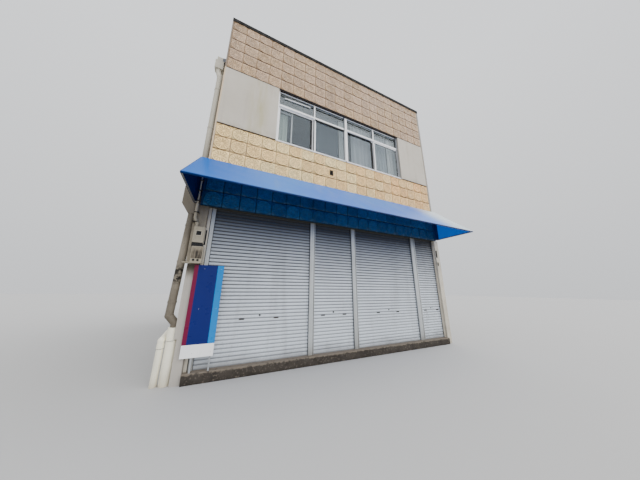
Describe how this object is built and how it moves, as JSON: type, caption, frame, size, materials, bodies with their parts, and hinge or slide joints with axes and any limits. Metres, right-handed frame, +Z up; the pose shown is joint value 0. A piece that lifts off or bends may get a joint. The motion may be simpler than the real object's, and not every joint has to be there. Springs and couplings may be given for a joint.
{
  "type": "two-storey corner shop building with tiled signboard front and roller shutters",
  "caption": "Hollow shop house: flat tiled street front with a window band, blue awning and roller shutters, low gable roof behind.",
  "frame": {"origin": "on the ground, in the middle of the plan: halfway between the outer faces of the side walls and between the tile face and the back face", "axes": "+Z up; the street front faces -Y; +X to the right as seen from the street"},
  "size_m": [6.5876, 8.3001, 7.64],
  "materials": {
    "concrete": "weathered concrete",
    "dark_concrete": "dark worn concrete",
    "mortar": "painted mortar",
    "cream_mortar": "cream painted mortar",
    "stucco": "sprayed stucco",
    "board": "plain boards",
    "ceiling_board": "matt board",
    "roof_sheet": "painted sheet with standing seams",
    "dark_metal": "weathered sheet",
    "beige_tile": "glazed embossed tile",
    "cream_tile": "glazed embossed tile",
    "blue_tile": "tile painted blue",
    "plain_panel": "satin panel",
    "trim_metal": "weathered trim",
    "white_aluminium": "anodised",
    "window_glass": "clear glass",
    "door_paint": "satin paint",
    "shutter_paint": "baked enamel on steel slats",
    "post_metal": "satin",
    "awning_vinyl": "glossy coated cloth",
    "tube_steel": "galvanised tube",
    "box_plastic": "aged plastic",
    "pipe_gray": "aged rigid plastic",
    "pipe_cream": "rigid plastic",
    "sign_blue": "printed sheet with plain bands",
    "sign_steel": "painted tube"
  },
  "bodies": {
    "root": {"floor_slab": "concrete", "front_kerb": "dark_concrete", "left_plinth": "concrete", "right_plinth": "concrete", "back_plinth": "concrete", "left_wall": "stucco", "right_wall": "stucco", "back_wall": "stucco", "front_wall": "stucco", "left_pillar": "mortar", "right_pillar": "cream_mortar", "upper_floor": "board", "upper_ceiling": "ceiling_board", "roof_left": "roof_sheet", "roof_right": "roof_sheet", "ridge_cap": "roof_sheet", "parapet_coping": "dark_metal", "upper_tiles": "beige_tile", "lower_tiles": "cream_tile", "awning_band_tiles": "blue_tile", "ribbon_panels": "plain_panel", "corner_trims": "trim_metal", "window_frame": "white_aluminium", "window_sashes": "white_aluminium", "window_glass": "window_glass", "side_window_frames": "white_aluminium", "side_window_glass": "window_glass", "back_door": "door_paint", "shutter_1": "shutter_paint", "shutter_2": "shutter_paint", "shutter_3": "shutter_paint", "shutter_4": "shutter_paint", "shutter_posts": "post_metal", "awning_cover": "awning_vinyl", "awning_ends": "awning_vinyl", "awning_bars": "tube_steel", "awning_rafters": "tube_steel", "awning_end_frames": "tube_steel", "meter_boxes": "box_plastic", "conduit": "pipe_gray", "gutters": "pipe_gray", "downpipes": "pipe_gray", "drain_pipes": "pipe_cream", "sign_board": "sign_blue", "sign_legs": "sign_steel"}
  },
  "joints": []
}
